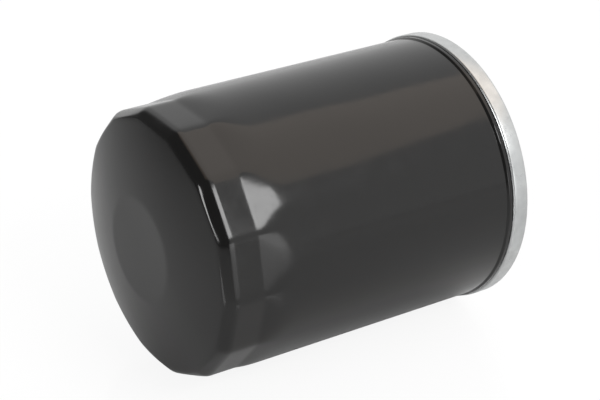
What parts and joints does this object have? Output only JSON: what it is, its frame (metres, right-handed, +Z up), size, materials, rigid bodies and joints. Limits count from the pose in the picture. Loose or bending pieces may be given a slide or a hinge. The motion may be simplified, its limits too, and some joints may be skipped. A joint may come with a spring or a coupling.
{
  "type": "spin-on oil filter",
  "caption": "Spin-on oil filter: black drawn can with wrench flats at its domed end, plated rolled seam, threaded plate, rubber gasket, pleated element and bypass valve inside.",
  "frame": {"origin": "centre of the mouth of the threaded hole, on the outer face of the tapping plate", "axes": "the filter lies on its side: +Y along its axis out of the threaded end towards the engine, -Y towards the domed end, +Z up, +X to the right as seen from the domed end"},
  "size_m": [0.0776, 0.103, 0.0776],
  "materials": {
    "black_paint": "glossy black baked paint",
    "zinc_plate": "bright zinc plating with fine scuffs",
    "seam_compound": "set sealing compound",
    "plate_steel": "zinc-plated pressed steel, cut threads",
    "nitrile_rubber": "moulded black rubber with a film of grease",
    "valve_rubber": "moulded dark brown rubber",
    "tinplate": "bright tinplate",
    "potting_adhesive": "cured red plastisol",
    "filter_paper": "resin-treated filter paper",
    "clip_steel": "plain steel strip",
    "tube_steel": "tinplate, punched",
    "valve_steel": "passivated pressed steel",
    "rivet_steel": "turned steel",
    "spring_steel": "drawn spring wire"
  },
  "bodies": {
    "filter_body": {"can": "black_paint", "seaming_lid": "zinc_plate", "seam_compound": "seam_compound", "tapping_plate": "plate_steel", "sealing_gasket": "nitrile_rubber", "lower_end_cap": "tinplate", "upper_end_cap": "tinplate", "lower_potting": "potting_adhesive", "upper_potting": "potting_adhesive", "pleated_media": "filter_paper", "media_seam_clip": "clip_steel", "centre_tube": "tube_steel", "bypass_housing": "valve_steel", "bypass_retainer": "valve_steel", "bypass_spring": "spring_steel", "element_spring": "spring_steel"},
    "bypass_valve": {"bypass_seal": "valve_rubber", "bypass_poppet": "valve_steel", "bypass_stem": "rivet_steel"},
    "anti_drain_flap": {"anti_drain_valve": "valve_rubber"}
  },
  "joints": [
    {"name": "bypass_opening", "type": "slide", "parent": "filter_body", "child": "bypass_valve", "axis": [0, 1, 0], "range_m": [0, 0.003], "stiffness_N_per_m": 2000, "springref_m": -0.0075, "deforming": ["bypass_spring"]},
    {"name": "flap_lift", "type": "slide", "parent": "filter_body", "child": "anti_drain_flap", "axis": [0, -1, 0], "range_m": [0, 0.0015], "stiffness_N_per_m": 400, "springref_m": -0.001, "deforming": ["anti_drain_valve"]}
  ]
}
